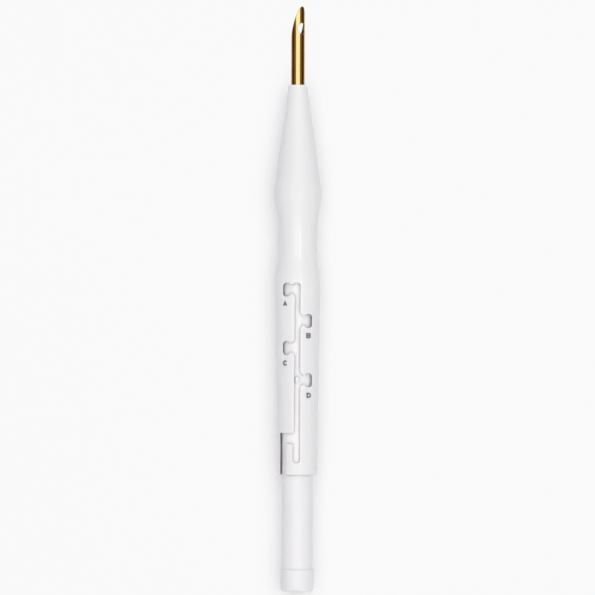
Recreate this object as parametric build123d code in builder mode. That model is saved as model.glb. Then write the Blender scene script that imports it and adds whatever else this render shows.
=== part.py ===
from build123d import *
import os
from math import cos, radians, sin

# Adjustable punch needle for yarn embroidery, lying on its side.
# A carrier tube with the needle slides inside the handle. Its lug runs in a stepped track, and turns
# into one of four side recesses that set how far the needle stands out.
# Frame: millimetres, +Z up, +Y towards the needle's tip, origin below the middle of the length.
# The tool's axis is the line x = 0, z = AXIS_Z. The track faces up.

# ---- driving dimensions -------------------------------------------------------------------------
OVERALL_LENGTH = 155.0
TIP_Y = OVERALL_LENGTH / 2
TAIL_Y = -OVERALL_LENGTH / 2

# handle, outside
HANDLE_LENGTH = 103.2
NOSE_Y = 56.7
HANDLE_REAR_Y = NOSE_Y - HANDLE_LENGTH
NOSE_RADIUS = 2.46
CONE_END_Y = 30.4
CONE_END_RADIUS = 6.0
BULGE_Y = 27.2
BULGE_RADIUS = 6.35
WAIST_RADIUS = 5.2
WAIST_FRONT_Y = 18.6
WAIST_REAR_Y = 12.6
SHOULDER_Y = 4.2
SHOULDER_RADIUS = 5.97
REAR_RADIUS = 5.26
AXIS_Z = BULGE_RADIUS

# handle, inside
RUNNING_GAP = 0.1
BORE_FRONT_Y = 34.6
GUIDE_REAR_Y = 46.0

# carrier tube, hub and collar
TUBE_RADIUS = 4.12
TUBE_BORE_RADIUS = 3.1
TUBE_FRONT_Y = 9.5
SPIGOT_RADIUS = 3.7
SPIGOT_REAR_Y = -76.0
COLLAR_RADIUS = 4.4
COLLAR_FRONT_Y = -71.6
COLLAR_ROUNDING = 0.9
YARN_HOLE_RADIUS = 2.9
YARN_LEAD_IN = 0.4
HUB_REAR_Y = -3.0
HUB_NOSE_Y = 15.0
HUB_NOSE_RADIUS = 2.6
FUNNEL_FRONT_Y = 4.0

# needle
NEEDLE_RADIUS = 1.85
NEEDLE_BORE_RADIUS = 1.5
NEEDLE_REAR_Y = FUNNEL_FRONT_Y
BEVEL_LENGTH = 11.1
TIP_TURN = 39.0  # degrees from +Z towards +X, the side of the tube that carries the point
EYE_SETBACK = 5.9
EYE_LENGTH = 2.9
EYE_WIDTH = 2.6

# track
TRACK_FLOOR_Z = AXIS_Z + 1.6
CHANNEL_FRONT_Y = 4.25
CHANNEL_REAR_Y = -43.4
CHANNEL_RIGHT_X = 0.75
CHANNEL_LEFT_X = -0.67
CHANNEL_CORNER = 0.8
BRANCH_LEFT_X = -0.9  # the channel widens a little towards the rear
BLIND_RIGHT_X = 0.68
BLIND_LEFT_X = -1.2
SETTINGS = {"a": (2.65, -1), "b": (-5.65, 1), "c": (-12.8, -1), "d": (-21.3, 1)}  # y of neck, side
RECESS_OUTER_X = 3.8
RECESS_HALF_HEIGHT = 1.84
RECESS_DROP = 0.17
RECESS_CORNER = 0.85
NECK_X = 1.62
NECK_HALF_HEIGHT = 1.02
NECK_MOUTH_HALF_HEIGHT = 1.95
BRANCH_FRONT_Y = -35.4
BRANCH_REAR_Y = -38.2
EXIT_LEFT_X = -4.56
EXIT_RIGHT_X = -2.97
EXIT_RELIEF_WIDTH = 0.5
EXIT_RELIEF_Z = AXIS_Z - 0.4
TONGUE_CORNER = 0.4

# lug
LUG_Y = SETTINGS["d"][0]
LUG_WIDTH = 1.2
LUG_LENGTH = 1.85
LUG_TOP_RADIUS = 5.2

# printed letters: place of each one's middle
LETTER_PLACES = {"a": (-3.31, -1.26), "b": (2.92, -9.69), "c": (-3.23, -16.94), "d": (3.02, -25.46)}
LETTER_HEIGHT = 1.43
LETTER_WIDTH = 1.2
LETTER_STROKE = 0.38
INK_THICKNESS = 0.03

# ---- worked out from them -----------------------------------------------------------------------
TOOL_AXIS = Axis((0, 0, AXIS_Z), (0, 1, 0))
PROFILE_PLANE = Plane.XY.offset(AXIS_Z)  # half profiles are drawn here as (radius, y)
BORE_RADIUS = TUBE_RADIUS + RUNNING_GAP
GUIDE_RADIUS = NEEDLE_RADIUS + RUNNING_GAP
CONE_SLOPE = (CONE_END_RADIUS - NOSE_RADIUS) / (NOSE_Y - CONE_END_Y)
BODY_SLOPE = (SHOULDER_RADIUS - REAR_RADIUS) / (SHOULDER_Y - HANDLE_REAR_Y)
TIP_DIRECTION = Vector(sin(radians(TIP_TURN)), 0, cos(radians(TIP_TURN)))

os.makedirs("parts", exist_ok=True)


def save(piece, name):
    """Label one finished piece and write its STEP file."""
    piece.label = name
    export_step(piece, "parts/" + name + ".step")


def body_radius(y):
    """Outer radius of the handle's rear body, a slight cone, at y."""
    return SHOULDER_RADIUS - BODY_SLOPE * (SHOULDER_Y - y)


def tube_ring(inner_radius, outer_radius, rear_y, front_y):
    """Half profile of a plain ring about the tool's axis."""
    with Locations(((inner_radius + outer_radius) / 2, (rear_y + front_y) / 2)):
        Rectangle(outer_radius - inner_radius, front_y - rear_y)


def recess_outline(neck_y, side):
    """One side recess of the track: a flared mouth, a neck between two bumps and a rounded room."""
    room_y = neck_y - RECESS_DROP
    front = min(room_y + RECESS_HALF_HEIGHT, CHANNEL_FRONT_Y)
    rear = room_y - RECESS_HALF_HEIGHT
    mouth_front = min(neck_y + NECK_MOUTH_HALF_HEIGHT, CHANNEL_FRONT_Y)
    mouth_rear = neck_y - NECK_MOUTH_HALF_HEIGHT
    room_x = NECK_X + 0.85
    mouth_x = 0.66
    points = [
        (0, mouth_front),
        (mouth_x, mouth_front),
        (NECK_X, neck_y + NECK_HALF_HEIGHT),
        (room_x, front),
        (RECESS_OUTER_X, front),
        (RECESS_OUTER_X, rear),
        (room_x, rear),
        (NECK_X, neck_y - NECK_HALF_HEIGHT),
        (mouth_x, mouth_rear),
        (0, mouth_rear),
    ]
    corner_radii = {2: 0.4, 3: 0.35, 4: RECESS_CORNER, 5: RECESS_CORNER, 6: 0.35, 7: 0.4}
    with BuildSketch(Plane.XY, mode=Mode.PRIVATE) as outline:
        with BuildLine():
            Polyline(*[(side * x, y) for x, y in points], close=True)
        make_face()
        for index, radius in corner_radii.items():
            corner = Vector(side * points[index][0], points[index][1])
            fillet(outline.vertices().sort_by_distance(corner)[0], radius)
    return outline.sketch


# ---- handle -------------------------------------------------------------------------------------
with BuildPart() as handle:
    with BuildSketch(PROFILE_PLANE) as handle_profile:
        with BuildLine():
            cone = Line((NOSE_RADIUS, NOSE_Y), (CONE_END_RADIUS, CONE_END_Y))
            bulge = Spline(
                cone @ 1,
                (BULGE_RADIUS, BULGE_Y),
                tangents=((CONE_SLOPE, -1), (0, -1)),
            )
            bulge_rear = Spline(
                bulge @ 1,
                (5.88, 24.1),
                (5.37, 21.0),
                (WAIST_RADIUS, WAIST_FRONT_Y),
                tangents=((0, -1), (0, -1)),
            )
            waist = Line(bulge_rear @ 1, (WAIST_RADIUS, WAIST_REAR_Y))
            shoulder = Spline(
                waist @ 1,
                (5.32, 9.7),
                (5.82, 6.7),
                (SHOULDER_RADIUS, SHOULDER_Y),
                tangents=((0, -1), (-BODY_SLOPE, -1)),
            )
            Polyline(
                shoulder @ 1,
                (REAR_RADIUS, HANDLE_REAR_Y),
                (BORE_RADIUS, HANDLE_REAR_Y),
                (BORE_RADIUS, BORE_FRONT_Y),
                (GUIDE_RADIUS, GUIDE_REAR_Y),
                (GUIDE_RADIUS, NOSE_Y),
                cone @ 0,
            )
        make_face()
        rear_corner = handle_profile.vertices().sort_by_distance(Vector(REAR_RADIUS, HANDLE_REAR_Y))[0]
        fillet(rear_corner, 0.35)
        nose_corner = handle_profile.vertices().sort_by_distance(Vector(NOSE_RADIUS, NOSE_Y))[0]
        fillet(nose_corner, 0.12)
    revolve(axis=TOOL_AXIS)

    with BuildSketch(Plane.XY.offset(TRACK_FLOOR_Z)) as track:
        # main channel with its round blind end
        with BuildLine():
            Polyline(
                (CHANNEL_LEFT_X, CHANNEL_FRONT_Y),
                (CHANNEL_RIGHT_X, CHANNEL_FRONT_Y),
                (BLIND_RIGHT_X, CHANNEL_REAR_Y),
                (BLIND_LEFT_X, CHANNEL_REAR_Y),
                (BLIND_LEFT_X, BRANCH_REAR_Y),
                (BRANCH_LEFT_X, BRANCH_FRONT_Y),
                close=True,
            )
        make_face()
        end_radius = 0.49 * (BLIND_RIGHT_X - BLIND_LEFT_X)
        fillet(track.vertices().group_by(Axis.Y)[0], end_radius)
        front_right = track.vertices().sort_by_distance(Vector(CHANNEL_RIGHT_X, CHANNEL_FRONT_Y))[0]
        fillet(front_right, CHANNEL_CORNER)
        for neck_y, side in SETTINGS.values():
            add(recess_outline(neck_y, side))
        # branch to the exit slot, which is open at the handle's rear end
        with BuildLine():
            Polyline(
                (0, BRANCH_FRONT_Y),
                (EXIT_LEFT_X, BRANCH_FRONT_Y),
                (EXIT_LEFT_X, HANDLE_REAR_Y - 1),
                (EXIT_RIGHT_X, HANDLE_REAR_Y - 1),
                (EXIT_RIGHT_X, BRANCH_REAR_Y),
                (0, BRANCH_REAR_Y),
                close=True,
            )
        make_face()
        for tongue_x in (EXIT_RIGHT_X, BLIND_LEFT_X):
            tongue_corner = track.vertices().sort_by_distance(Vector(tongue_x, BRANCH_REAR_Y))[0]
            fillet(tongue_corner, TONGUE_CORNER)
    extrude(amount=BULGE_RADIUS, mode=Mode.SUBTRACT)
    # the exit slot's outer edge is relieved deeper, beside the carrier tube
    with BuildSketch(Plane.XY.offset(EXIT_RELIEF_Z)):
        with Locations((EXIT_LEFT_X, HANDLE_REAR_Y - 1)):
            relief_length = BRANCH_FRONT_Y - HANDLE_REAR_Y + 1
            Rectangle(EXIT_RELIEF_WIDTH, relief_length, align=(Align.MIN, Align.MIN))
    extrude(amount=BULGE_RADIUS, mode=Mode.SUBTRACT)
save(handle.part, "handle")

# ---- carrier tube -------------------------------------------------------------------------------
with BuildPart() as carrier_tube:
    with BuildSketch(PROFILE_PLANE) as tube_profile:
        tube_ring(TUBE_BORE_RADIUS, TUBE_RADIUS, COLLAR_FRONT_Y, TUBE_FRONT_Y)
        tube_ring(TUBE_BORE_RADIUS, SPIGOT_RADIUS, SPIGOT_REAR_Y, COLLAR_FRONT_Y)
        front_corner = tube_profile.vertices().sort_by_distance(Vector(TUBE_RADIUS, TUBE_FRONT_Y))[0]
        chamfer(front_corner, 0.3)
    revolve(axis=TOOL_AXIS)
save(carrier_tube.part, "carrier_tube")

# ---- locking lug: round-ended block that stands on the tube in the track ---------------------------
with BuildPart() as locking_lug:
    with BuildSketch(PROFILE_PLANE):
        with Locations((0, LUG_Y)):
            SlotOverall(LUG_LENGTH, LUG_WIDTH, rotation=90)
    extrude(amount=BULGE_RADIUS)
    with BuildSketch(PROFILE_PLANE):
        tube_ring(TUBE_RADIUS, LUG_TOP_RADIUS, LUG_Y - LUG_LENGTH, LUG_Y + LUG_LENGTH)
    revolve(axis=TOOL_AXIS, mode=Mode.INTERSECT)
save(locking_lug.part, "locking_lug")

# ---- tail collar: cap ring on the tube's spigot, with the yarn hole ------------------------------
with BuildPart() as tail_collar:
    with BuildSketch(PROFILE_PLANE) as collar_profile:
        with BuildLine():
            Polyline(
                (YARN_HOLE_RADIUS, TAIL_Y),
                (COLLAR_RADIUS, TAIL_Y),
                (COLLAR_RADIUS, COLLAR_FRONT_Y),
                (SPIGOT_RADIUS, COLLAR_FRONT_Y),
                (SPIGOT_RADIUS, SPIGOT_REAR_Y),
                (YARN_HOLE_RADIUS, SPIGOT_REAR_Y),
                close=True,
            )
        make_face()
        tail_corner = collar_profile.vertices().sort_by_distance(Vector(COLLAR_RADIUS, TAIL_Y))[0]
        fillet(tail_corner, COLLAR_ROUNDING)
        hole_corner = collar_profile.vertices().sort_by_distance(Vector(YARN_HOLE_RADIUS, TAIL_Y))[0]
        fillet(hole_corner, YARN_LEAD_IN)
        front_edge = collar_profile.vertices().sort_by_distance(Vector(COLLAR_RADIUS, COLLAR_FRONT_Y))[0]
        fillet(front_edge, 0.12)
    revolve(axis=TOOL_AXIS)
save(tail_collar.part, "tail_collar")

# ---- needle hub: plug in the tube's front end, a funnel for the yarn behind the needle -------------
with BuildPart() as needle_hub:
    with BuildSketch(PROFILE_PLANE):
        with BuildLine():
            Polyline(
                (TUBE_BORE_RADIUS, HUB_REAR_Y),
                (TUBE_BORE_RADIUS, TUBE_FRONT_Y),
                (HUB_NOSE_RADIUS, HUB_NOSE_Y),
                (NEEDLE_RADIUS, HUB_NOSE_Y),
                (NEEDLE_RADIUS, FUNNEL_FRONT_Y),
                (NEEDLE_BORE_RADIUS, FUNNEL_FRONT_Y),
                (TUBE_BORE_RADIUS - 0.2, HUB_REAR_Y),
                close=True,
            )
        make_face()
    revolve(axis=TOOL_AXIS)
save(needle_hub.part, "needle_hub")

# ---- needle: steel tube cut on the slant, with an eye behind the point ----------------------------
bevel_tip = Vector(0, TIP_Y, AXIS_Z) + TIP_DIRECTION * NEEDLE_RADIUS
bevel_heel = Vector(0, TIP_Y - BEVEL_LENGTH, AXIS_Z) - TIP_DIRECTION * NEEDLE_RADIUS
bevel_run = (bevel_tip - bevel_heel).normalized()
bevel_side = TIP_DIRECTION.cross(Vector(0, 1, 0))
bevel_normal = bevel_run.cross(bevel_side)
if bevel_normal.dot(TIP_DIRECTION) > 0:
    bevel_normal = bevel_normal * -1

with BuildPart() as needle:
    with BuildSketch(PROFILE_PLANE):
        tube_ring(NEEDLE_BORE_RADIUS, NEEDLE_RADIUS, NEEDLE_REAR_Y, TIP_Y)
    revolve(axis=TOOL_AXIS)
    # everything on the open side of the slanted plane is cut away
    with BuildSketch(Plane(origin=bevel_tip, x_dir=bevel_run, z_dir=bevel_normal)):
        Rectangle(6 * BEVEL_LENGTH, 6 * NEEDLE_RADIUS)
    extrude(amount=6 * NEEDLE_RADIUS, mode=Mode.SUBTRACT)
    eye_plane = Plane(origin=(0, TIP_Y - EYE_SETBACK, AXIS_Z), x_dir=(0, 1, 0), z_dir=TIP_DIRECTION)
    with BuildSketch(eye_plane):
        Ellipse(EYE_LENGTH / 2, EYE_WIDTH / 2)
    extrude(amount=2 * NEEDLE_RADIUS, mode=Mode.SUBTRACT)
save(needle.part, "needle")

# ---- printed letters: thin ink films that follow the handle's surface ------------------------------
pen_width = LETTER_WIDTH - LETTER_STROKE
pen_height = LETTER_HEIGHT - LETTER_STROKE
left, right = -pen_width / 2, pen_width / 2
bottom, top = -pen_height / 2, pen_height / 2
bowl_x = right - pen_height / 4
for letter, (letter_x, letter_y) in LETTER_PLACES.items():
    with BuildPart() as setting_letter:
        with BuildSketch(Plane(origin=(letter_x, letter_y, AXIS_Z))):
            with BuildLine() as strokes:
                if letter == "a":
                    Polyline((left, bottom), (0, 0.8 * top), (right, bottom))
                    Line((0.62 * left, -0.18 * pen_height), (0.62 * right, -0.18 * pen_height))
                if letter == "b":
                    Line((left, bottom), (left, top))
                    for height in (bottom, 0, top):
                        Line((left, height), (bowl_x, height))
                    for middle in (bottom / 2, top / 2):
                        ThreePointArc((bowl_x, middle - top / 2), (right, middle), (bowl_x, middle + top / 2))
                if letter == "c":
                    EllipticalCenterArc((0, 0), right, top, start_angle=38, arc_size=284)
                if letter == "d":
                    Line((left, bottom), (left, top))
                    Line((left, top), (left / 3, top))
                    Line((left, bottom), (left / 3, bottom))
                    EllipticalCenterArc((left / 3, 0), right - left / 3, top, start_angle=-90, arc_size=180)
            trace(line_width=LETTER_STROKE)
        extrude(amount=BULGE_RADIUS)
        film_rear = letter_y - LETTER_HEIGHT
        film_front = letter_y + LETTER_HEIGHT
        for film_depth, keep in ((INK_THICKNESS, Mode.INTERSECT), (0, Mode.SUBTRACT)):
            with BuildSketch(PROFILE_PLANE):
                with BuildLine():
                    Polyline(
                        (0, film_rear),
                        (body_radius(film_rear) + film_depth, film_rear),
                        (body_radius(film_front) + film_depth, film_front),
                        (0, film_front),
                        close=True,
                    )
                make_face()
            revolve(axis=TOOL_AXIS, mode=keep)
    save(setting_letter.part, "setting_letter_" + letter)
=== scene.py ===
import math

import bmesh
import bpy
import numpy as np
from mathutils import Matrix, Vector
from mathutils.geometry import delaunay_2d_cdt


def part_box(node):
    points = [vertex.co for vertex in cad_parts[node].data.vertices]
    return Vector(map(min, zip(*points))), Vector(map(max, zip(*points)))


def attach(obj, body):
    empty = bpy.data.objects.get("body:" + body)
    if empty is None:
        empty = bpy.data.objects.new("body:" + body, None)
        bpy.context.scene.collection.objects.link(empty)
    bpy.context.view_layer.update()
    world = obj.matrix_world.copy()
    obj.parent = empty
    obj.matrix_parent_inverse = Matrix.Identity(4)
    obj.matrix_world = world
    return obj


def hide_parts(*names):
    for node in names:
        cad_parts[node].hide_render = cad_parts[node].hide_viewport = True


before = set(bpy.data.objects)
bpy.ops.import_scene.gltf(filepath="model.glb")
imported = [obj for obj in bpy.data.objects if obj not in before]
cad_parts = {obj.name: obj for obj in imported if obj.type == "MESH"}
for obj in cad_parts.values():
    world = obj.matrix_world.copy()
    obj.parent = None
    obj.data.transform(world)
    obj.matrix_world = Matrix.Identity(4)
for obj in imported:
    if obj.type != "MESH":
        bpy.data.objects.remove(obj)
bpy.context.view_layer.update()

# Lengths are in millimetres, in the CAD's frame, unless a comment says metres. Meshes are turned into
# metres when they are made.
MM = 0.001
HANDLE_LOW, HANDLE_HIGH = (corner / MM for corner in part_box("handle"))
AXIS_Z = (HANDLE_LOW.z + HANDLE_HIGH.z) / 2

# ---- sizes, as in the CAD -------------------------------------------------------------------------
NOSE_Y = HANDLE_HIGH.y
NOSE_RADIUS = 2.46
REAR_Y = HANDLE_LOW.y
PROFILE = (  # outside of the handle: y, radius, slope; None takes the slope from the neighbours
    (REAR_Y, 5.26, 0.014),
    (4.2, 5.97, 0.014),
    (6.7, 5.82, None),
    (9.7, 5.32, None),
    (12.6, 5.2, 0.0),
    (18.6, 5.2, 0.0),
    (21.0, 5.37, None),
    (24.1, 5.88, None),
    (27.2, 6.35, 0.0),
    (30.4, 6.0, -0.1346),
    (56.7, NOSE_RADIUS, -0.1346),
)
BORE_RADIUS = 4.22
BORE_FRONT_Y = 34.6
GUIDE_RADIUS = 1.95
GUIDE_REAR_Y = 46.0

TUBE_RADIUS = 4.12
TUBE_BORE_RADIUS = 3.1
TUBE_FRONT_Y = 9.5
SPIGOT_RADIUS = 3.7
SPIGOT_REAR_Y = -76.0
COLLAR_RADIUS = 4.4
COLLAR_FRONT_Y = -71.6
TAIL_Y = -77.5
YARN_HOLE_RADIUS = 2.9

NEEDLE_RADIUS = 1.85
NEEDLE_BORE_RADIUS = 1.5
NEEDLE_REAR_Y = 4.0
TIP_Y = 77.5
BEVEL_LENGTH = 11.1
TIP_TURN = math.radians(39.0)
EYE_Y = TIP_Y - 5.9
EYE_LENGTH = 2.9
EYE_WIDTH = 2.6
NEEDLE_LIP = 0.12  # polished rounding of the mouth and the eye, which the CAD leaves out

CHANNEL_FRONT_Y = 4.25
CHANNEL_REAR_Y = -43.4
CHANNEL_RIGHT_X = 0.75
CHANNEL_LEFT_X = -0.67
BRANCH_LEFT_X = -0.9
BLIND_RIGHT_X = 0.68
BLIND_LEFT_X = -1.2
SETTINGS = ((2.65, -1), (-5.65, 1), (-12.8, -1), (-21.3, 1))  # A to D: y of the neck, side
RECESS_OUTER_X = 3.8
RECESS_HALF_HEIGHT = 1.84
RECESS_DROP = 0.17
NECK_X = 1.62
NECK_HALF_HEIGHT = 1.02
NECK_LENGTH = 0.85
MOUTH_HALF_HEIGHT = 1.95
BRANCH_FRONT_Y = -35.4
BRANCH_REAR_Y = -38.2
EXIT_LEFT_X = -4.56
EXIT_RIGHT_X = -2.97
TRACK_LIP = 0.16  # rounding along the track's upper edge, which the CAD leaves out

# roundings of the track's corners, seen from above
MOUTH_ROUNDING = 0.35
NECK_ROUNDING = 0.42
ROOM_ROUNDING = 0.35
RECESS_ROUNDING = 0.85
CHANNEL_ROUNDING = 0.8
BRANCH_FRONT_ROUNDING = 0.35
BRANCH_REAR_ROUNDING = 0.45
EXIT_ROUNDING = 0.3
TAB_ROUNDING = 0.4
REAR_EDGE_ROUNDING = 0.35

# ---- how finely the meshes are made ---------------------------------------------------------------
COLUMNS = 120  # points around the handle, the tube and the collar
NEEDLE_COLUMNS = 72
LIP_STEPS = 5  # faces across a quarter-round lip
LUG_END_STEPS = 16
EYE_POINTS = 48
TRACK_STEP = 0.35  # between points along the track's edge
SHARP_ANGLE = 35.0  # degrees; flatter edges are shaded smooth
LIP_SHARP_ANGLE = 50.0  # the same for the needle and the lug
WELD = 2e-6  # metres; closer points become one
DEGENERATE = 1e-7  # metres; shorter edges are taken out


# ---- small helpers --------------------------------------------------------------------------------
def handle_radius(y):
    """Outer radius of the handle at y: a smooth curve through PROFILE."""
    ys = [key[0] for key in PROFILE]
    rs = [key[1] for key in PROFILE]
    slopes = []
    for i, key in enumerate(PROFILE):
        if key[2] is None:
            slopes.append((rs[i + 1] - rs[i - 1]) / (ys[i + 1] - ys[i - 1]))
        else:
            slopes.append(key[2])
    y = np.asarray(y, float)
    i = np.clip(np.searchsorted(ys, y, side="right") - 1, 0, len(ys) - 2)
    ys, rs, slopes = np.array(ys), np.array(rs), np.array(slopes)
    span = ys[i + 1] - ys[i]
    t = np.clip((y - ys[i]) / span, 0, 1)
    return (
        rs[i] * (1 + 2 * t) * (1 - t) ** 2
        + slopes[i] * span * t * (1 - t) ** 2
        + rs[i + 1] * t * t * (3 - 2 * t)
        + slopes[i + 1] * span * t * t * (t - 1)
    )


def new_object(name, verts, faces, body, sharp=SHARP_ANGLE):
    """A welded, smooth-shaded mesh piece from points in millimetres. It rides on a body."""
    mesh = bpy.data.meshes.new(name)
    mesh.from_pydata([tuple(v * MM for v in p) for p in verts], [], faces)
    b = bmesh.new()
    b.from_mesh(mesh)
    bmesh.ops.remove_doubles(b, verts=b.verts, dist=WELD)
    bmesh.ops.dissolve_degenerate(b, dist=DEGENERATE, edges=b.edges)
    bmesh.ops.recalc_face_normals(b, faces=b.faces)
    b.to_mesh(mesh)
    b.free()
    for polygon in mesh.polygons:
        polygon.use_smooth = True
    mesh.set_sharp_from_angle(angle=math.radians(sharp))
    piece = bpy.data.objects.new(name, mesh)
    bpy.context.scene.collection.objects.link(piece)
    weighted = piece.modifiers.new("weighted_normals", "WEIGHTED_NORMAL")
    weighted.keep_sharp = True
    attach(piece, body)
    return piece


def rounded_corner(before, corner, after, radius, most_turn):
    """Points of the arc that rounds one corner of an outline. Each step turns by at most most_turn."""
    a, b, c = (np.array(p, float) for p in (before, corner, after))
    d1 = (b - a) / np.linalg.norm(b - a)
    d2 = (c - b) / np.linalg.norm(c - b)
    turn = math.atan2(d1[0] * d2[1] - d1[1] * d2[0], d1 @ d2)
    reach = radius * math.tan(abs(turn) / 2)
    normal = np.array([-d1[1], d1[0]]) * math.copysign(radius, turn)
    centre = b - d1 * reach + normal
    steps = max(2, math.ceil(abs(turn) / most_turn))
    points = []
    for i in range(steps + 1):
        angle = turn * i / steps
        cos, sin = math.cos(angle), math.sin(angle)
        spoke = -normal
        points.append(centre + (spoke[0] * cos - spoke[1] * sin, spoke[0] * sin + spoke[1] * cos))
    return points


def rounded_path(corners, step, most_turn=math.radians(12)):
    """An open outline as closely spaced points. Each corner is (x, y, radius of its rounding)."""
    points = [np.array(corners[0][:2], float)]
    for i in range(1, len(corners)):
        x, y, radius = corners[i]
        if radius > 0:
            arc = rounded_corner(corners[i - 1][:2], (x, y), corners[i + 1][:2], radius, most_turn)
        else:
            arc = [np.array((x, y), float)]
        start = points[-1]
        count = max(1, math.ceil(np.linalg.norm(arc[0] - start) / step))
        points += [start + (arc[0] - start) * k / count for k in range(1, count)]
        points += arc
    return np.array(points)


def inward_normals(points, closed=False):
    """Unit normals to the left of a path's direction, which is the side of the material."""
    if closed:
        along = np.roll(points, -1, 0) - np.roll(points, 1, 0)
    else:
        along = np.gradient(points, axis=0)
    along /= np.linalg.norm(along, axis=1)[:, None]
    return np.column_stack([-along[:, 1], along[:, 0]])


def inside(points, loop):
    """Which points lie inside a closed outline."""
    tiny = 1e-12
    x, y = points[:, 0][:, None], points[:, 1][:, None]
    x1, y1 = loop[:, 0][None], loop[:, 1][None]
    x2, y2 = np.roll(loop[:, 0], -1)[None], np.roll(loop[:, 1], -1)[None]
    rise = np.where(y2 == y1, tiny, y2 - y1)
    crosses = ((y1 > y) != (y2 > y)) & (x < (x2 - x1) * (y - y1) / rise + x1)
    return crosses.sum(1) % 2 == 1


def triangulated(outline, holes, lattice, clear):
    """Triangles over a flat outline with holes. The lattice's points are used where they are further
    than clear from every rim. Returns points, triangles and, for the outline and each hole in turn, the
    indices of its points."""
    loops = [outline, *holes]
    rims = np.concatenate(loops)
    gap = np.full(len(lattice), np.inf)
    batch = 200
    for k in range(0, len(rims), batch):
        apart = np.linalg.norm(lattice[:, None] - rims[None, k : k + batch], axis=2)
        gap = np.minimum(gap, apart.min(1))
    keep = inside(lattice, outline) & (gap > clear)
    for hole in holes:
        keep &= ~inside(lattice, hole)
    points = np.concatenate([rims, lattice[keep]])
    faces, first = [], 0
    for loop in loops:
        faces.append(list(range(first, first + len(loop))))
        first += len(loop)
    edges = [(face[i - 1], face[i]) for face in faces for i in range(len(face))]
    full_inside, tolerance = 1, 1e-7
    made = delaunay_2d_cdt([Vector(p) for p in points], edges, [faces[0]], full_inside, tolerance, True)
    flat = np.array([tuple(v) for v in made[0]])
    place = {}
    for index, sources in enumerate(made[3]):
        for source in sources:
            place[source] = index
    triangles = np.array(made[2])
    middles = flat[triangles].mean(1)
    solid = inside(middles, outline)
    for hole in holes:
        solid &= ~inside(middles, hole)
    rows = [[place[i] for i in face] for face in faces]
    return flat, triangles[solid], rows


class Builder:
    """Collects points and faces of one closed mesh."""

    def __init__(self):
        self.verts = []
        self.faces = []

    def add(self, points):
        first = len(self.verts)
        self.verts += [tuple(p) for p in points]
        return list(range(first, first + len(points)))

    def strip(self, row_a, row_b, closed=False):
        count = len(row_a)
        for i in range(count if closed else count - 1):
            j = (i + 1) % count
            self.faces.append((row_a[i], row_a[j], row_b[j], row_b[i]))


def revolved(name, profile, body):
    """A closed ring about the tool's axis. The profile's points are (radius, y)."""
    mesh = Builder()
    rows = []
    for i in range(COLUMNS):
        angle = 2 * math.pi * i / COLUMNS
        sin, cos = math.sin(angle), math.cos(angle)
        rows.append(mesh.add([(r * sin, y, AXIS_Z + r * cos) for r, y in profile]))
    for i in range(COLUMNS):
        mesh.strip(rows[i], rows[(i + 1) % COLUMNS], closed=True)
    return new_object(name, mesh.verts, mesh.faces, body)


def rounded_lip(mesh, row, edge, normals, lip, place, closed=False):
    """Faces of a quarter-round lip, from a row of the skin's points down to the edge. place(points, drop)
    puts points of the flat skin in space, let down by drop. Returns the lowest row."""
    for i in range(1, LIP_STEPS + 1):
        turn = math.pi / 2 * i / LIP_STEPS
        away = edge + normals * lip * (1 - math.sin(turn))
        lower = mesh.add(place(away, lip * (1 - math.cos(turn))))
        mesh.strip(row, lower, closed)
        row = lower
    return row


def profile_with_roundings(corners, most_turn=math.radians(15)):
    """A closed (radius, y) profile. Each corner is (radius, y, radius of its rounding)."""
    points = []
    count = len(corners)
    for i, (r, y, radius) in enumerate(corners):
        if radius > 0:
            before, after = corners[i - 1][:2], corners[(i + 1) % count][:2]
            points += [tuple(p) for p in rounded_corner(before, (r, y), after, radius, most_turn)]
        else:
            points.append((r, y))
    return points


# ---- handle ---------------------------------------------------------------------------------------
def channel_wall(y, side):
    """x of the main channel's wall on one side at y."""
    if side > 0:
        t = (CHANNEL_FRONT_Y - y) / (CHANNEL_FRONT_Y - CHANNEL_REAR_Y)
        return CHANNEL_RIGHT_X + t * (BLIND_RIGHT_X - CHANNEL_RIGHT_X)
    t = (CHANNEL_FRONT_Y - y) / (CHANNEL_FRONT_Y - BRANCH_FRONT_Y)
    return CHANNEL_LEFT_X + t * (BRANCH_LEFT_X - CHANNEL_LEFT_X)


def recess_corners(neck_y, side):
    """Corners of one side recess from its front to its rear."""
    room_y = neck_y - RECESS_DROP
    front = min(room_y + RECESS_HALF_HEIGHT, CHANNEL_FRONT_Y)
    rear = room_y - RECESS_HALF_HEIGHT
    room_x = NECK_X + NECK_LENGTH
    mouth_front = min(neck_y + MOUTH_HALF_HEIGHT, CHANNEL_FRONT_Y)
    mouth_rear = neck_y - MOUTH_HALF_HEIGHT
    return [
        (channel_wall(mouth_front, side), mouth_front, MOUTH_ROUNDING),
        (side * NECK_X, neck_y + NECK_HALF_HEIGHT, NECK_ROUNDING),
        (side * room_x, front, ROOM_ROUNDING),
        (side * RECESS_OUTER_X, front, RECESS_ROUNDING),
        (side * RECESS_OUTER_X, rear, RECESS_ROUNDING),
        (side * room_x, rear, ROOM_ROUNDING),
        (side * NECK_X, neck_y - NECK_HALF_HEIGHT, NECK_ROUNDING),
        (channel_wall(mouth_rear, side), mouth_rear, MOUTH_ROUNDING),
    ]


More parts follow.
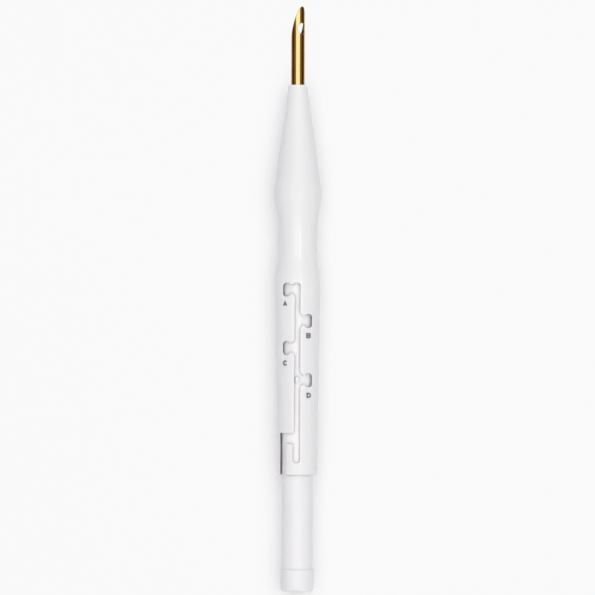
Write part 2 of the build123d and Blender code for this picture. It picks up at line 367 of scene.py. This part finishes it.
def track_path():
    """The track's edge seen from above, from the exit slot's left wall round to its right wall."""
    recess = {name: recess_corners(*place) for name, place in zip("abcd", SETTINGS)}
    almost_half = 0.49
    blind_rounding = almost_half * (BLIND_RIGHT_X - BLIND_LEFT_X)
    corners = [
        (EXIT_LEFT_X, REAR_Y, 0),
        (EXIT_LEFT_X, BRANCH_FRONT_Y, EXIT_ROUNDING),
        (BRANCH_LEFT_X, BRANCH_FRONT_Y, BRANCH_FRONT_ROUNDING),
        *reversed(recess["c"]),
        *reversed(recess["a"]),
        (CHANNEL_RIGHT_X, CHANNEL_FRONT_Y, CHANNEL_ROUNDING),
        *recess["b"],
        *recess["d"],
        (BLIND_RIGHT_X, CHANNEL_REAR_Y, blind_rounding),
        (BLIND_LEFT_X, CHANNEL_REAR_Y, blind_rounding),
        (BLIND_LEFT_X, BRANCH_REAR_Y, BRANCH_REAR_ROUNDING),
        (EXIT_RIGHT_X, BRANCH_REAR_Y, TAB_ROUNDING),
        (EXIT_RIGHT_X, REAR_Y, 0),
    ]
    return rounded_path(corners, TRACK_STEP)


SHEET_FRONT_Y = 6.0  # the skin is cut by the track behind this and turned ahead of it
UNROLL = 5.7  # radius at which the handle's skin is unrolled flat
UPRIGHT_REACH = 3.85  # the track's walls are upright as far from the axis as this
SLOT_FOOT = math.radians(95.4)  # angle at which the exit slot's left wall meets the bore


def unrolled(points):
    """(x, y) on the handle's upper face to (arc length, y) on the unrolled skin."""
    angle = np.arcsin(points[:, 0] / handle_radius(points[:, 1]))
    return np.column_stack([angle * UNROLL, points[:, 1]])


def inner_angle(angle, outer):
    """Angle on the bore below a point of the skin, so that the track's walls are upright. Beside the
    exit slot the bore's wall is met a little below the axis."""
    a, r = np.abs(angle), outer
    knee_1 = np.arcsin(UPRIGHT_REACH / r)
    knee_2 = np.arcsin(-EXIT_LEFT_X / r)
    knee_1_in = math.asin(UPRIGHT_REACH / BORE_RADIUS)
    upright = np.arcsin(np.minimum(np.sin(np.minimum(a, knee_1)) * r / BORE_RADIUS, 1))
    step = knee_1_in + (a - knee_1) / (knee_2 - knee_1) * (SLOT_FOOT - knee_1_in)
    rest = SLOT_FOOT + (a - knee_2) / (math.pi - knee_2) * (math.pi - SLOT_FOOT)
    found = np.where(a < knee_1, upright, np.where(a < knee_2, step, rest))
    return np.sign(angle) * found


def nose_profile():
    """The turned part ahead of the track: forward along the skin, round the nose and back in the bore.
    Each point is its radius, its y and how far its columns have turned from the skin's angles (0) to the
    bore's (1)."""
    cone_y, nose_edge, bore_middle_y = 34.0, 0.12, 20.0
    ring_step, cone_rings = 0.5, 24
    outer_rounding, inner_rounding = 0.1, 0.08
    bulge = np.arange(SHEET_FRONT_Y, cone_y, ring_step)[1:]
    cone = np.linspace(cone_y, NOSE_Y - nose_edge, cone_rings)
    profile = [(float(handle_radius(y)), float(y), 0.0) for y in (*bulge, *cone)]
    corner, mouth, guide = (NOSE_RADIUS, NOSE_Y), (GUIDE_RADIUS, NOSE_Y), (GUIDE_RADIUS, GUIDE_REAR_Y)
    outer_edge = rounded_corner(profile[-1][:2], corner, mouth, outer_rounding, math.radians(15))
    inner_edge = rounded_corner(corner, mouth, guide, inner_rounding, math.radians(30))
    profile += [(float(r), float(y), 0.0) for r, y in outer_edge]
    profile += [(float(r), float(y), 0.1) for r, y in inner_edge]
    return [
        *profile,
        (*guide, 0.4),
        (BORE_RADIUS, BORE_FRONT_Y, 0.9),
        (BORE_RADIUS, bore_middle_y, 1.0),
    ]


def make_handle():
    """The sleeve: a skin unrolled flat, cut by the track, rolled up, with a rounded lip along every
    edge of the track and upright walls down to the bore. The nose is a turned shape ahead of it."""
    path = unrolled(track_path())
    left_end, right_end = path[0, 0], path[-1, 0]
    half = math.pi * UNROLL
    corners = [(-half, REAR_Y, 0), (left_end, REAR_Y, REAR_EDGE_ROUNDING)]
    corners += [(u, v, 0) for u, v in path[2:-2]]
    corners += [(right_end, REAR_Y, REAR_EDGE_ROUNDING), (half, REAR_Y, 0)]
    edge = rounded_path(corners, TRACK_STEP)
    normals = inward_normals(edge)
    normals[0] = normals[-1] = (0, 1)
    on_rear = np.clip((REAR_Y + REAR_EDGE_ROUNDING - edge[:, 1]) / REAR_EDGE_ROUNDING, 0, 1)

    def skin(flat, drop=0.0, rear=0.0):
        """A point of the unrolled skin in space, let down by drop: straight down on the track's lip,
        towards the axis on the handle's rear edge."""
        angle = flat[:, 0] / UNROLL
        r = handle_radius(flat[:, 1])
        inward = drop * rear
        x = (r - inward) * np.sin(angle)
        z = AXIS_Z + (r - inward) * np.cos(angle) - drop * (1 - rear)
        return np.column_stack([x, flat[:, 1], z])

    def lip_point(away, drop):
        return skin(away, drop, on_rear)

    def bore(flat):
        angle = inner_angle(flat[:, 0] / UNROLL, handle_radius(flat[:, 1]))
        x, z = BORE_RADIUS * np.sin(angle), AXIS_Z + BORE_RADIUS * np.cos(angle)
        return np.column_stack([x, flat[:, 1], z])

    # the flat skin's outline, from the track's edge round by the seam and the front
    seam_step, row_step, clear = 0.6, 0.45, 0.2
    ring = edge + normals * TRACK_LIP
    columns = np.linspace(-half, half, COLUMNS + 1)
    seam = np.arange(REAR_Y + TRACK_LIP, SHEET_FRONT_Y, seam_step)[1:]
    front = np.column_stack([columns[::-1], np.full(COLUMNS + 1, SHEET_FRONT_Y)])
    right = np.column_stack([np.full(len(seam), half), seam])
    left = np.column_stack([np.full(len(seam), -half), seam[::-1]])
    outline = np.concatenate([ring, right, front, left])
    first_row, end_of_rows = REAR_Y + TRACK_LIP + 0.4, SHEET_FRONT_Y - 0.25
    rows = np.arange(first_row, end_of_rows, row_step)
    lattice = np.stack(np.meshgrid(columns[1:-1], rows), -1).reshape(-1, 2)
    flat, triangles, loops = triangulated(outline, [], lattice, clear)
    ring_rows = loops[0][: len(ring)]
    front_rows = loops[0][len(ring) + len(seam) : len(ring) + len(seam) + COLUMNS + 1][::-1]

    mesh = Builder()
    skin_ids = np.array(mesh.add(skin(flat)))
    mesh.faces += [tuple(skin_ids[t]) for t in triangles]
    # rounded lip, then the upright wall
    row = [skin_ids[i] for i in ring_rows]
    row = rounded_lip(mesh, row, edge, normals, TRACK_LIP, lip_point)
    wall_top = skin(edge, TRACK_LIP, on_rear)
    wall_foot = bore(edge)
    ledge = wall_top.copy()
    ledge[:, 2] = wall_foot[:, 2]
    ledge = ledge + (wall_foot - ledge) * on_rear[:, None]
    ledge_row = mesh.add(ledge)
    mesh.strip(row, ledge_row)
    # bore: the same triangles, with the edge in place of the lip's ring
    inner = flat.copy()
    inner[ring_rows] = edge
    bore_ids = np.array(mesh.add(bore(inner)))
    mesh.strip(ledge_row, [bore_ids[i] for i in ring_rows])
    mesh.faces += [tuple(bore_ids[t[::-1]]) for t in triangles]
    # turned part
    outer_angles = columns / UNROLL
    inner_angles = inner_angle(outer_angles, handle_radius(SHEET_FRONT_Y))
    row = [skin_ids[i] for i in front_rows]
    for r, y, shift in nose_profile():
        angles = outer_angles + (inner_angles - outer_angles) * shift
        x, z = r * np.sin(angles), AXIS_Z + r * np.cos(angles)
        ahead = mesh.add(np.column_stack([x, np.full(len(angles), y), z]))
        mesh.strip(row, ahead)
        row = ahead
    mesh.strip(row, [bore_ids[i] for i in front_rows])
    piece = new_object("handle_sleeve", mesh.verts, mesh.faces, "handle")
    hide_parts("handle")
    return piece


# ---- needle ---------------------------------------------------------------------------------------
NEEDLE_SHEET_REAR_Y = 60.0  # behind this the needle is a plain tube
BEVEL_BLEND = 4.0  # behind the mouth, the bore's points follow the slanted cut over this length


def make_needle():
    """The steel tube, unrolled flat with the point's line in the middle, cut to its slanted mouth and
    its eye, and rolled up with polished edges. Along the flat skin, u is the arc length from that line."""
    half = math.pi * NEEDLE_RADIUS
    across = np.linspace(-half, half, NEEDLE_COLUMNS + 1)

    def mouth_y(u, radius=NEEDLE_RADIUS):
        return TIP_Y - BEVEL_LENGTH * (1 - radius / NEEDLE_RADIUS * np.cos(u / NEEDLE_RADIUS)) / 2

    fine = np.linspace(half, -half, 2 * NEEDLE_COLUMNS + 1)
    mouth = np.column_stack([fine, mouth_y(fine)])  # right to left: material is on the left, below
    turns = np.linspace(0, -2 * math.pi, EYE_POINTS + 1)[:-1]
    eye_u = NEEDLE_RADIUS * np.arcsin(EYE_WIDTH / 2 / NEEDLE_RADIUS * np.cos(turns))
    eye = np.column_stack([eye_u, EYE_Y + EYE_LENGTH / 2 * np.sin(turns)])
    mouth_normals = inward_normals(mouth)
    mouth_normals[0] = mouth_normals[-1] = (0, -1)
    eye_normals = inward_normals(eye, closed=True)

    def shell(flat, radius):
        angle = TIP_TURN + flat[:, 0] / NEEDLE_RADIUS
        return np.column_stack([radius * np.sin(angle), flat[:, 1], AXIS_Z + radius * np.cos(angle)])

    def let_down(flat, drop):
        return shell(flat, NEEDLE_RADIUS - drop)

    def bore_flat(flat):
        """Where a point of the skin goes on the bore: near the mouth it follows the slanted cut."""
        shift = mouth_y(flat[:, 0], NEEDLE_BORE_RADIUS) - mouth_y(flat[:, 0])
        near = np.clip(1 - (mouth_y(flat[:, 0]) - flat[:, 1]) / BEVEL_BLEND, 0, 1)
        moved = flat.copy()
        moved[:, 1] += shift * near * near * (3 - 2 * near)
        return moved

    ring = mouth + mouth_normals * NEEDLE_LIP
    eye_ring = eye + eye_normals * NEEDLE_LIP
    seam_points, row_step, clear = 24, 0.26, 0.09
    seam = np.linspace(NEEDLE_SHEET_REAR_Y, ring[0, 1], seam_points)[1:-1]
    rear = np.column_stack([across, np.full(len(across), NEEDLE_SHEET_REAR_Y)])
    right = np.column_stack([np.full(len(seam), half), seam])
    left = np.column_stack([np.full(len(seam), -half), seam[::-1]])
    outline = np.concatenate([rear, right, ring, left])
    first_row = NEEDLE_SHEET_REAR_Y + 0.3
    rows = np.arange(first_row, TIP_Y, row_step)
    lattice = np.stack(np.meshgrid(across[1:-1], rows), -1).reshape(-1, 2)
    flat, triangles, loops = triangulated(outline, [eye_ring], lattice, clear)
    rear_rows = loops[0][: len(rear)]
    first = len(rear) + len(seam)
    ring_rows = loops[0][first : first + len(ring)]
    eye_rows = loops[1]

    mesh = Builder()
    skin_ids = np.array(mesh.add(shell(flat, NEEDLE_RADIUS)))
    mesh.faces += [tuple(skin_ids[t]) for t in triangles]
    inner = flat.copy()
    inner[ring_rows] = mouth
    inner[eye_rows] = eye
    bore_ids = np.array(mesh.add(shell(bore_flat(inner), NEEDLE_BORE_RADIUS)))
    mesh.faces += [tuple(bore_ids[t[::-1]]) for t in triangles]
    for edge, normals, source, closed in (
        (mouth, mouth_normals, ring_rows, False),
        (eye, eye_normals, eye_rows, True),
    ):
        row = [skin_ids[i] for i in source]
        row = rounded_lip(mesh, row, edge, normals, NEEDLE_LIP, let_down, closed)
        mesh.strip(row, [bore_ids[i] for i in source], closed)
    # plain tube behind the mouth
    row = [skin_ids[i] for i in rear_rows]
    inner_row = [bore_ids[i] for i in rear_rows]
    plain_rings = (45.0, 30.0, 15.0, NEEDLE_REAR_Y)
    for y in plain_rings:
        straight = np.column_stack([across, np.full(len(across), y)])
        behind = mesh.add(shell(straight, NEEDLE_RADIUS))
        mesh.strip(row, behind)
        row = behind
        behind = mesh.add(shell(straight, NEEDLE_BORE_RADIUS))
        mesh.strip(inner_row, behind)
        inner_row = behind
    mesh.strip(row, inner_row)
    piece = new_object("needle_tube", mesh.verts, mesh.faces, "carrier", LIP_SHARP_ANGLE)
    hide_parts("needle")
    return piece


# ---- carrier tube, collar, hub, lug ---------------------------------------------------------------
def make_carrier_tube():
    """The tube with its narrower spigot at the rear. Corners are (radius, y, rounding)."""
    corners = [
        (TUBE_BORE_RADIUS, SPIGOT_REAR_Y, 0.1),
        (SPIGOT_RADIUS, SPIGOT_REAR_Y, 0.15),
        (SPIGOT_RADIUS, COLLAR_FRONT_Y, 0),
        (TUBE_RADIUS, COLLAR_FRONT_Y, 0.08),
        (TUBE_RADIUS, TUBE_FRONT_Y, 0.3),
        (TUBE_BORE_RADIUS, TUBE_FRONT_Y, 0.1),
    ]
    piece = revolved("carrier_body", profile_with_roundings(corners), "carrier")
    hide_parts("carrier_tube")
    return piece


def make_collar():
    """The end collar around the spigot, with the yarn hole. Corners are (radius, y, rounding)."""
    corners = [
        (YARN_HOLE_RADIUS, TAIL_Y, 0.4),
        (COLLAR_RADIUS, TAIL_Y, 0.9),
        (COLLAR_RADIUS, COLLAR_FRONT_Y, 0.14),
        (SPIGOT_RADIUS, COLLAR_FRONT_Y, 0.05),
        (SPIGOT_RADIUS, SPIGOT_REAR_Y, 0),
        (YARN_HOLE_RADIUS, SPIGOT_REAR_Y, 0.05),
    ]
    piece = revolved("end_collar", profile_with_roundings(corners), "carrier")
    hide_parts("tail_collar")
    return piece


def make_lug():
    """The round-ended peg that runs in the track, with its top edge rounded over."""
    low, high = (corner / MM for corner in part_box("locking_lug"))
    middle_y = (low.y + high.y) / 2
    half_width = (high.x - low.x) / 2
    straight = (high.y - low.y) / 2 - half_width
    top_rounding = 0.25

    def ring(inset, z):
        reach = half_width - inset
        points = []
        for end in (1, -1):
            for i in range(LUG_END_STEPS + 1):
                angle = math.pi * i / LUG_END_STEPS + (0 if end > 0 else math.pi)
                y = middle_y + end * straight + reach * math.sin(angle)
                points.append((reach * math.cos(angle), y, z))
        return points

    mesh = Builder()
    rows = [mesh.add(ring(0, low.z)), mesh.add(ring(0, high.z - top_rounding))]
    for i in range(1, LIP_STEPS + 1):
        turn = math.pi / 2 * i / LIP_STEPS
        inset, fall = top_rounding * (1 - math.cos(turn)), top_rounding * (1 - math.sin(turn))
        rows.append(mesh.add(ring(inset, high.z - fall)))
    for row_a, row_b in zip(rows, rows[1:]):
        mesh.strip(row_a, row_b, closed=True)
    mesh.faces.append(tuple(rows[0]))
    mesh.faces.append(tuple(rows[-1]))
    piece = new_object("track_lug", mesh.verts, mesh.faces, "carrier", LIP_SHARP_ANGLE)
    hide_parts("locking_lug")
    return piece


# ---- materials ------------------------------------------------------------------------------------
def node_material(name):
    """A new node material. Returns it with its node tree and its Principled shader."""
    material = bpy.data.materials.new(name)
    material.use_nodes = True
    tree = material.node_tree
    return material, tree, tree.nodes["Principled BSDF"]


def feed(tree, socket, value):
    """Sets an input to a constant, or links it to another node's output."""
    if isinstance(value, bpy.types.NodeSocket):
        tree.links.new(value, socket)
    else:
        socket.default_value = value


def own_place(tree):
    """Where a point is in the piece's own coordinates, in metres."""
    return tree.nodes.new("ShaderNodeTexCoord").outputs["Object"]


def noise(tree, scale, detail=3, stretch=(1, 1, 1)):
    """Noise in the piece's own coordinates. Scale is in features per metre."""
    squash = tree.nodes.new("ShaderNodeMapping")
    squash.inputs["Scale"].default_value = stretch
    grain = tree.nodes.new("ShaderNodeTexNoise")
    grain.inputs["Scale"].default_value = scale
    grain.inputs["Detail"].default_value = detail
    tree.links.new(own_place(tree), squash.inputs["Vector"])
    tree.links.new(squash.outputs["Vector"], grain.inputs["Vector"])
    return grain.outputs["Fac"]


def between(tree, factor, low, high):
    """A colour or a grey that follows a noise's factor, which stays mostly inside the usual range."""
    usual_range = (0.3, 0.7)
    ramp = tree.nodes.new("ShaderNodeValToRGB")
    for element, at, value in zip(ramp.color_ramp.elements, usual_range, (low, high)):
        element.position = at
        element.color = (*value, 1) if hasattr(value, "__len__") else (value, value, value, 1)
    tree.links.new(factor, ramp.inputs["Fac"])
    return ramp.outputs["Color"]


def component(tree, vector, axis):
    """One of a vector's three numbers."""
    split = tree.nodes.new("ShaderNodeSeparateXYZ")
    tree.links.new(vector, split.inputs["Vector"])
    return split.outputs[axis]


def maths(tree, operation, first, second=0.0):
    """One sum on numbers or on other nodes' outputs."""
    node = tree.nodes.new("ShaderNodeMath")
    node.operation = operation
    feed(tree, node.inputs[0], first)
    feed(tree, node.inputs[1], second)
    return node.outputs["Value"]


def rescaled(tree, value, low, high):
    """0 up to low, 1 from high on, and in proportion between them."""
    change = tree.nodes.new("ShaderNodeMapRange")
    change.inputs["From Min"].default_value = low
    change.inputs["From Max"].default_value = high
    tree.links.new(value, change.inputs["Value"])
    return change.outputs["Result"]


def mixed(tree, factor, first, second):
    """The first colour where the factor is 0, the second where it is 1."""
    blend = tree.nodes.new("ShaderNodeMix")
    blend.data_type = "RGBA"
    tree.links.new(factor, blend.inputs["Factor"])
    feed(tree, blend.inputs["A"], first)
    feed(tree, blend.inputs["B"], second)
    return blend.outputs["Result"]


def bumped(tree, shader, height, distance, strength):
    """Fine relief on a shader's surface. The distance is in metres."""
    bump = tree.nodes.new("ShaderNodeBump")
    bump.inputs["Distance"].default_value = distance
    bump.inputs["Strength"].default_value = strength
    tree.links.new(height, bump.inputs["Height"])
    tree.links.new(bump.outputs["Normal"], shader.inputs["Normal"])


def blend_by_radius(tree, radius_in, colour_in, radius_out, colour_out, front_y):
    """One colour near the tool's axis and another further out, with a soft change between. Ahead of
    front_y there is only the outer colour."""
    from_axis = tree.nodes.new("ShaderNodeVectorMath")
    from_axis.operation = "MULTIPLY_ADD"
    from_axis.inputs[1].default_value = (1, 0, 1)
    from_axis.inputs[2].default_value = (0, 0, -AXIS_Z * MM)
    distance = tree.nodes.new("ShaderNodeVectorMath")
    distance.operation = "LENGTH"
    tree.links.new(own_place(tree), from_axis.inputs[0])
    tree.links.new(from_axis.outputs["Vector"], distance.inputs[0])
    outer = rescaled(tree, distance.outputs["Value"], radius_in * MM, radius_out * MM)
    ahead = maths(tree, "GREATER_THAN", component(tree, own_place(tree), "Y"), front_y * MM)
    return mixed(tree, maths(tree, "MAXIMUM", outer, ahead), (*colour_in, 1), colour_out)


def moulded_plastic(name, light, dark, gloss, depth, painted_shade_radii=None, painted_light_inside=None):
    """White moulded plastic: clouded colour, patchy gloss and a faint flow texture along the tool. Depth
    is how far light goes into it, in metres. Painted shade: the bore and the lower walls of the track
    are painted mauve up to the first of the two shade radii, fading out at the second. The part inside
    the handle can be given a lighter colour, painted light that lifts the shade at the bottom of the
    track."""
    shade_mauve = (0.31, 0.2, 0.3)
    material, tree, shader = node_material(name)
    cloud = noise(tree, scale=90, detail=4, stretch=(1, 0.25, 1))
    colour = between(tree, cloud, dark, light)
    # painted shade: mauve on the bore and the track's lower walls, where shade falls in the track
    if painted_shade_radii:
        colour = blend_by_radius(tree, painted_shade_radii[0], shade_mauve, painted_shade_radii[1], colour, BORE_FRONT_Y)
    # painted light: a lighter colour on the part inside the handle, lifting the shade in the track
    if painted_light_inside:
        y = component(tree, own_place(tree), "Y")
        change_start, change_end = REAR_Y - 0.5, REAR_Y + 1.5
        within = rescaled(tree, y, change_start * MM, change_end * MM)
        colour = mixed(tree, within, colour, (*painted_light_inside, 1))
    tree.links.new(colour, shader.inputs["Base Color"])
    patches = noise(tree, scale=700, detail=5, stretch=(1, 0.35, 1))
    tree.links.new(between(tree, patches, gloss + 0.05, gloss - 0.04), shader.inputs["Roughness"])
    flow = noise(tree, scale=2600, stretch=(1, 0.5, 1))
    bumped(tree, shader, flow, distance=4e-6, strength=0.5)
    shader.inputs["Subsurface Weight"].default_value = 0.5
    shader.inputs["Subsurface Radius"].default_value = (1.0, 0.85, 0.85)
    shader.inputs["Subsurface Scale"].default_value = depth
    shader.inputs["Specular IOR Level"].default_value = 0.2
    shader.inputs["Coat Weight"].default_value = 0.5
    shader.inputs["Coat Roughness"].default_value = 0.05
    return material


def gold_plating(name):
    """Gold-coloured plating on drawn steel: fine lines along the tube and a slightly uneven tone. Towards
    the bore the colour turns dark brown."""
    bore_colour = (0.06, 0.03, 0.015)
    bore_edge, lip_edge = NEEDLE_BORE_RADIUS + 0.05, NEEDLE_RADIUS - NEEDLE_LIP
    material, tree, shader = node_material(name)
    shader.inputs["Metallic"].default_value = 1.0
    tone = noise(tree, scale=500, stretch=(1, 0.08, 1))
    gold = between(tree, tone, (0.93, 0.68, 0.29), (1.0, 0.78, 0.38))
    gold = blend_by_radius(tree, bore_edge, bore_colour, lip_edge, gold, TIP_Y)
    tree.links.new(gold, shader.inputs["Base Color"])
    lines = noise(tree, scale=9000, detail=4, stretch=(1, 0.02, 1))
    tree.links.new(between(tree, lines, 0.13, 0.24), shader.inputs["Roughness"])
    bumped(tree, shader, lines, distance=2e-6, strength=0.4)
    return material


def letter_ink(name):
    """Thin grey pad print, a little uneven in cover."""
    material, tree, shader = node_material(name)
    cover = noise(tree, scale=6000, detail=2)
    grey = between(tree, cover, (0.13, 0.125, 0.135), (0.2, 0.195, 0.21))
    tree.links.new(grey, shader.inputs["Base Color"])
    shader.inputs["Roughness"].default_value = 0.6
    return material


def floor_paint(name):
    """Matt white, a little uneven."""
    material, tree, shader = node_material(name)
    shade = noise(tree, scale=12, detail=2)
    tree.links.new(between(tree, shade, 0.93, 0.94), shader.inputs["Base Color"])
    shader.inputs["Roughness"].default_value = 0.9
    shader.inputs["Specular IOR Level"].default_value = 0.0
    return material


def dress(obj, material):
    obj.data.materials.clear()
    obj.data.materials.append(material)


# ---- stage ----------------------------------------------------------------------------------------
def add_camera():
    """Straight above, point ahead, with a long lens. The width is what it sees at the tool's axis, and
    all lengths but the lens's are in metres."""
    frame_width = 0.1577
    centre_x, centre_y = -0.00001, 0.000385
    roll = math.radians(0.105)
    lens, sensor = 320.0, 36.0
    camera_data = bpy.data.cameras.new("camera")
    camera_data.lens = lens
    camera_data.sensor_width = sensor
    camera_data.clip_start = 0.01
    camera = bpy.data.objects.new("camera", camera_data)
    camera.location = (centre_x, centre_y, AXIS_Z * MM + frame_width * lens / sensor)
    camera.rotation_euler = (0, 0, roll)
    bpy.context.scene.collection.objects.link(camera)
    bpy.context.scene.camera = camera


def add_area_light(name, place, size, watts, colour=(1, 1, 1)):
    """A rectangular light that points straight down. Its place and size are in metres."""
    light_data = bpy.data.lights.new(name, "AREA")
    light_data.shape = "RECTANGLE"
    light_data.size, light_data.size_y = size
    light_data.energy = watts
    light_data.color = colour
    light = bpy.data.objects.new(name, light_data)
    light.location = place
    bpy.context.scene.collection.objects.link(light)
    return light


def keep_off(lights, piece):
    """Stops some lights from falling on one piece."""
    unlit = bpy.data.collections.new("kept_unlit")
    unlit.objects.link(piece)
    unlit.collection_objects[0].light_linking.link_state = "EXCLUDE"
    for light in lights:
        light.light_linking.receiver_collection = unlit


def add_floor(material):
    """A wide flat floor, left out of reflections. The reach is in metres."""
    mesh = bpy.data.meshes.new("floor")
    reach = 3.0
    corners = [(-reach, -reach, 0), (reach, -reach, 0), (reach, reach, 0), (-reach, reach, 0)]
    mesh.from_pydata(corners, [], [(0, 1, 2, 3)])
    floor = bpy.data.objects.new("floor", mesh)
    bpy.context.scene.collection.objects.link(floor)
    floor.data.materials.append(material)
    floor.visible_glossy = False


def toned_by_height(tree, height, steps):
    """A colour that follows a direction's height, from -1 straight down to 1 straight up. Each step is
    (height, colour)."""
    by_height = tree.nodes.new("ShaderNodeValToRGB")
    elements = by_height.color_ramp.elements
    for (at, colour), element in zip(steps, (elements[0], elements[1])):
        element.position = (at + 1) / 2
        element.color = (*colour, 1)
    for at, colour in steps[2:]:
        elements.new((at + 1) / 2).color = (*colour, 1)
    tree.links.new(rescaled(tree, height, -1, 1), by_height.inputs["Fac"])
    return by_height.outputs["Color"]


def add_sky(ambient, beside, ends):
    """Soft white room light. Reflections see a studio instead: beside the tool it is dark above a white
    table, and off the tool's ends it has lit walls. Each lists (height of the direction, colour)."""
    ends_from, ends_full = 0.35, 0.6
    world = bpy.data.worlds.new("room")
    bpy.context.scene.world = world
    world.use_nodes = True
    tree = world.node_tree
    tree.nodes.clear()
    out = tree.nodes.new("ShaderNodeOutputWorld")
    path = tree.nodes.new("ShaderNodeLightPath")
    mix = tree.nodes.new("ShaderNodeMixShader")
    room = tree.nodes.new("ShaderNodeBackground")
    room.inputs["Color"].default_value = (0.965, 0.955, 1.02, 1)
    room.inputs["Strength"].default_value = ambient
    studio = tree.nodes.new("ShaderNodeBackground")
    direction = tree.nodes.new("ShaderNodeTexCoord").outputs["Generated"]
    height = component(tree, direction, "Z")
    along = maths(tree, "ABSOLUTE", component(tree, direction, "Y"))
    tones = mixed(
        tree,
        rescaled(tree, along, ends_from, ends_full),
        toned_by_height(tree, height, beside),
        toned_by_height(tree, height, ends),
    )
    tree.links.new(tones, studio.inputs["Color"])
    tree.links.new(path.outputs["Is Glossy Ray"], mix.inputs["Fac"])
    tree.links.new(room.outputs["Background"], mix.inputs[1])
    tree.links.new(studio.outputs["Background"], mix.inputs[2])
    tree.links.new(mix.outputs["Shader"], out.inputs["Surface"])


def expose():
    """Slight over-exposure with a soft shoulder, so the white table is nearly blown out. Each point of the
    shoulder is (light, tone shown)."""
    shoulder = ((0.84, 0.84), (0.93, 0.915), (1.0, 0.948), (1.1, 0.956), (1.3, 0.965))
    view = bpy.context.scene.view_settings
    view.view_transform = "Standard"
    view.use_curve_mapping = True
    curves = view.curve_mapping
    brightest, combined = 1.6, 3
    curves.white_level = (brightest, brightest, brightest)
    curves.clip_max_x = 1.0
    film = curves.curves[combined]
    film.points[0].location = (0, 0)
    film.points[1].location = (1, 1)
    for light, shown in shoulder:
        film.points.new(light / brightest, shown)
    for point in film.points:
        point.handle_type = "VECTOR"
    curves.update()


# ---- make it --------------------------------------------------------------------------------------
expose()
add_camera()
table, white, bright = (0.95, 0.94, 0.97), (0.62, 0.6, 0.64), (1.25, 1.25, 1.25)
dark, brown = (0.033, 0.01, 0.002), (0.17, 0.09, 0.015)
lit, shade, grey = (1.0, 1.0, 1.01), (0.5, 0.48, 0.47), (0.12, 0.09, 0.07)
add_sky(
    ambient=0.54,
    beside=(
        (-1.0, table),
        (-0.8, white),
        (-0.5, white),
        (-0.4, dark),
        (0.25, dark),
        (0.45, brown),
        (0.8, brown),
        (0.9, bright),
        (1.0, bright),
    ),
    ends=(
        (-1.0, table),
        (-0.5, white),
        (-0.3, grey),
        (-0.05, grey),
        (0.12, lit),
        (0.45, shade),
        (0.75, lit),
        (1.0, lit),
    ),
)
overhead = add_area_light("overhead", (0.06, 0, 0.6), (0.9, 0.9), watts=3.6, colour=(1, 1.003, 0.972))
overhead.visible_glossy = False
# the strips draw the two streaks along the waist
strips = [
    add_area_light("left_strip", (-0.085, 0.028, 0.6), (0.09, 0.075), watts=0.5),
    add_area_light("right_strip", (0.155, 0.028, 0.6), (0.14, 0.075), watts=0.75),
]
for strip in strips:
    strip.visible_diffuse = False
add_floor(floor_paint("floor_paint"))

handle_plastic = moulded_plastic(
    "handle_white",
    light=(0.8, 0.797, 0.792),
    dark=(0.78, 0.775, 0.777),
    gloss=0.36,
    depth=0.0012,
    # painted shade on the bore and the track's lower walls, set by radius
    painted_shade_radii=(4.25, 4.5),
)
carrier_plastic = moulded_plastic(
    "carrier_white",
    light=(0.805, 0.796, 0.804),
    dark=(0.785, 0.776, 0.785),
    gloss=0.42,
    depth=0.0008,
    # painted light on the part of the carrier inside the handle
    painted_light_inside=(0.87, 0.857, 0.864),
)
lug_plastic = moulded_plastic(
    "lug_white", light=(0.76, 0.755, 0.76), dark=(0.73, 0.725, 0.73), gloss=0.42, depth=0.0008
)
plating = gold_plating("gold_plating")
ink = letter_ink("letter_ink")

dress(make_handle(), handle_plastic)
needle = make_needle()
needle.visible_diffuse = False
keep_off(strips, needle)
dress(needle, plating)
for piece in (make_carrier_tube(), make_collar(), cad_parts["needle_hub"]):
    dress(piece, carrier_plastic)
dress(make_lug(), lug_plastic)
for letter in "abcd":
    dress(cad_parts["setting_letter_" + letter], ink)
